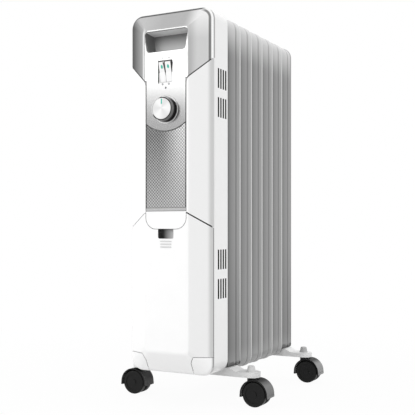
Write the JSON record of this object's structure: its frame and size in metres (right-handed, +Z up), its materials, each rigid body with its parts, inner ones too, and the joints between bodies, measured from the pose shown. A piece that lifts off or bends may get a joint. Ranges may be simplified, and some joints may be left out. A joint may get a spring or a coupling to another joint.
{
  "type": "oil filled radiator heater",
  "caption": "Free-standing oil filled radiator heater: grey folded fins behind a white control housing with rockers, dial, carry handle and cord compartment, on swivel casters.",
  "frame": {"origin": "on the floor, under the middle of the bounding box", "axes": "+Z up, -Y towards the front of the control housing, +X to the right as seen from the front"},
  "size_m": [0.274, 0.3564, 0.626],
  "materials": {
    "white_abs": "glossy white moulded ABS",
    "liner_abs": "white moulded ABS",
    "silver_abs": "satin silver lacquer on ABS",
    "grey_panel": "grey satin with a fine diamond texture",
    "bright_trim": "bright silver lacquer",
    "dark_abs": "dark grey moulded plastic",
    "teal_lens": "teal moulded plastic",
    "thermostat_plastic": "pale phenolic",
    "grey_paint": "grey powder coat, slight gloss",
    "light_paint": "light grey powder coat",
    "zinc_steel": "zinc plated steel",
    "element_steel": "annealed steel sheath",
    "seal_rubber": "black rubber",
    "caster_nylon": "black nylon",
    "caster_steel": "bright steel"
  },
  "bodies": {
    "radiator": {"caster_caps": "light_paint", "cord_bin": "liner_abs", "cord_gland": "seal_rubber", "dial_ring": "bright_trim", "element_gasket": "seal_rubber", "fascia": "silver_abs", "fin_1": "grey_paint", "fin_2": "grey_paint", "fin_3": "grey_paint", "fin_4": "grey_paint", "fin_5": "grey_paint", "fin_6": "grey_paint", "foot_clamps": "zinc_steel", "front_cover": "white_abs", "front_foot": "light_paint", "handle_pocket": "dark_abs", "header_plug": "zinc_steel", "heating_element": "element_steel", "hinge_pins": "zinc_steel", "mounting_plate": "zinc_steel", "pattern_panel": "grey_panel", "plate_screws": "zinc_steel", "rear_foot": "light_paint", "rocker_pin": "zinc_steel", "side_shell": "white_abs", "switch_frame": "dark_abs", "terminal_block": "thermostat_plastic", "thermal_cutout": "zinc_steel", "thermostat": "thermostat_plastic", "trim_strip": "bright_trim", "wing_nuts": "zinc_steel"},
    "knob": {"knob": "dark_abs", "knob_cap": "white_abs", "knob_pointer": "teal_lens", "thermostat_shaft": "zinc_steel"},
    "left_rocker": {"rocker_left": "white_abs", "rocker_lens_left": "teal_lens"},
    "right_rocker": {"rocker_right": "white_abs", "rocker_lens_right": "teal_lens"},
    "door": {"cord_door": "white_abs"},
    "front_left_caster": {"front_left_hood": "caster_nylon", "front_left_stem": "caster_steel"},
    "front_left_wheels": {"front_left_axle": "caster_steel", "front_left_wheel_outer": "caster_nylon", "front_left_wheel_inner": "caster_nylon"},
    "front_right_caster": {"front_right_hood": "caster_nylon", "front_right_stem": "caster_steel"},
    "front_right_wheels": {"front_right_axle": "caster_steel", "front_right_wheel_outer": "caster_nylon", "front_right_wheel_inner": "caster_nylon"},
    "rear_left_caster": {"rear_left_hood": "caster_nylon", "rear_left_stem": "caster_steel"},
    "rear_left_wheels": {"rear_left_axle": "caster_steel", "rear_left_wheel_outer": "caster_nylon", "rear_left_wheel_inner": "caster_nylon"},
    "rear_right_caster": {"rear_right_hood": "caster_nylon", "rear_right_stem": "caster_steel"},
    "rear_right_wheels": {"rear_right_axle": "caster_steel", "rear_right_wheel_outer": "caster_nylon", "rear_right_wheel_inner": "caster_nylon"}
  },
  "joints": [
    {"name": "knob_turn", "type": "hinge", "parent": "radiator", "child": "knob", "pos_m": [0, -0.16525, 0.468], "axis": [0, 1, 0], "range_deg": [-135, 135]},
    {"name": "left_rocker_tilt", "type": "hinge", "parent": "radiator", "child": "left_rocker", "pos_m": [-0.0056, -0.16125, 0.5275], "axis": [1, 0, 0], "range_deg": [-22, 0]},
    {"name": "right_rocker_tilt", "type": "hinge", "parent": "radiator", "child": "right_rocker", "pos_m": [0.0056, -0.16125, 0.5275], "axis": [1, 0, 0], "range_deg": [-22, 0]},
    {"name": "door_open", "type": "hinge", "parent": "radiator", "child": "door", "pos_m": [0, -0.14425, 0.067], "axis": [1, 0, 0], "range_deg": [0, 70]},
    {"name": "front_left_swivel", "type": "hinge", "parent": "radiator", "child": "front_left_caster", "pos_m": [-0.103, -0.07125, 0.046], "axis": [0, 0, 1], "continuous": true},
    {"name": "front_left_roll", "type": "hinge", "parent": "front_left_caster", "child": "front_left_wheels", "pos_m": [-0.113, -0.07125, 0.02], "axis": [0, 1, 0], "continuous": true},
    {"name": "front_right_swivel", "type": "hinge", "parent": "radiator", "child": "front_right_caster", "pos_m": [0.103, -0.07125, 0.046], "axis": [0, 0, 1], "continuous": true},
    {"name": "front_right_roll", "type": "hinge", "parent": "front_right_caster", "child": "front_right_wheels", "pos_m": [0.113, -0.07125, 0.02], "axis": [0, 1, 0], "continuous": true},
    {"name": "rear_left_swivel", "type": "hinge", "parent": "radiator", "child": "rear_left_caster", "pos_m": [-0.103, 0.16025, 0.046], "axis": [0, 0, 1], "continuous": true},
    {"name": "rear_left_roll", "type": "hinge", "parent": "rear_left_caster", "child": "rear_left_wheels", "pos_m": [-0.113, 0.16025, 0.02], "axis": [0, 1, 0], "continuous": true},
    {"name": "rear_right_swivel", "type": "hinge", "parent": "radiator", "child": "rear_right_caster", "pos_m": [0.103, 0.16025, 0.046], "axis": [0, 0, 1], "continuous": true},
    {"name": "rear_right_roll", "type": "hinge", "parent": "rear_right_caster", "child": "rear_right_wheels", "pos_m": [0.113, 0.16025, 0.02], "axis": [0, 1, 0], "continuous": true}
  ]
}
